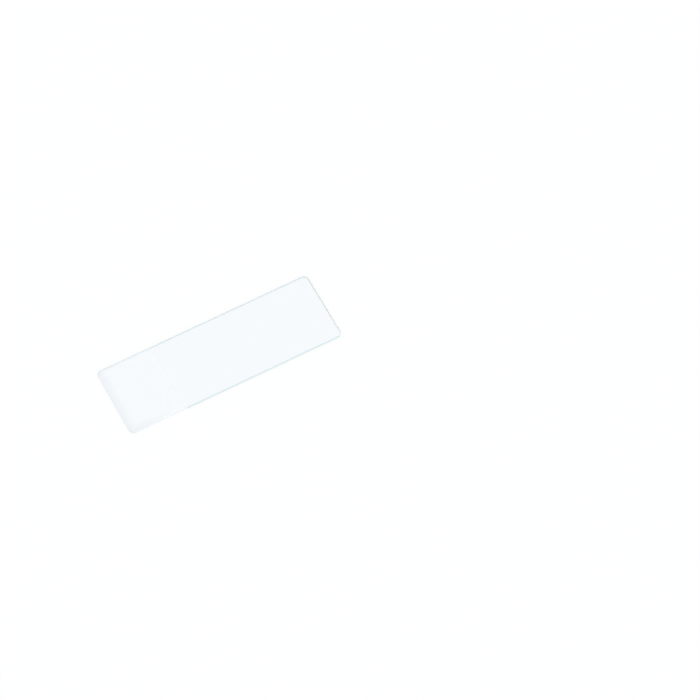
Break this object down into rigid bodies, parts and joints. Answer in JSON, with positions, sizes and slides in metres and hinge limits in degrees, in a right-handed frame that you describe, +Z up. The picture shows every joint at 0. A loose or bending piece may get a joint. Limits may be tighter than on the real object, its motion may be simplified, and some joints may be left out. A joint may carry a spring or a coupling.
{
  "type": "microscope slide",
  "caption": "Thin flat rectangular pane of clear glass with clipped corners, seamed rims and one frosted end, which carries a specimen under a microscope.",
  "frame": {"origin": "middle of the lower polished face, which the slide lies on", "axes": "+X along the slide, away from the frosted end; +Y across it; +Z up, out of the face that carries the specimen and the frosting"},
  "size_m": [0.076, 0.026, 0.001],
  "materials": {
    "glass": "clear polished soda-lime glass, faintly blue-green through its edges, with finely ground edges and a matt frosted end"
  },
  "bodies": {
    "root": {"glass_slide": "glass"}
  },
  "joints": []
}
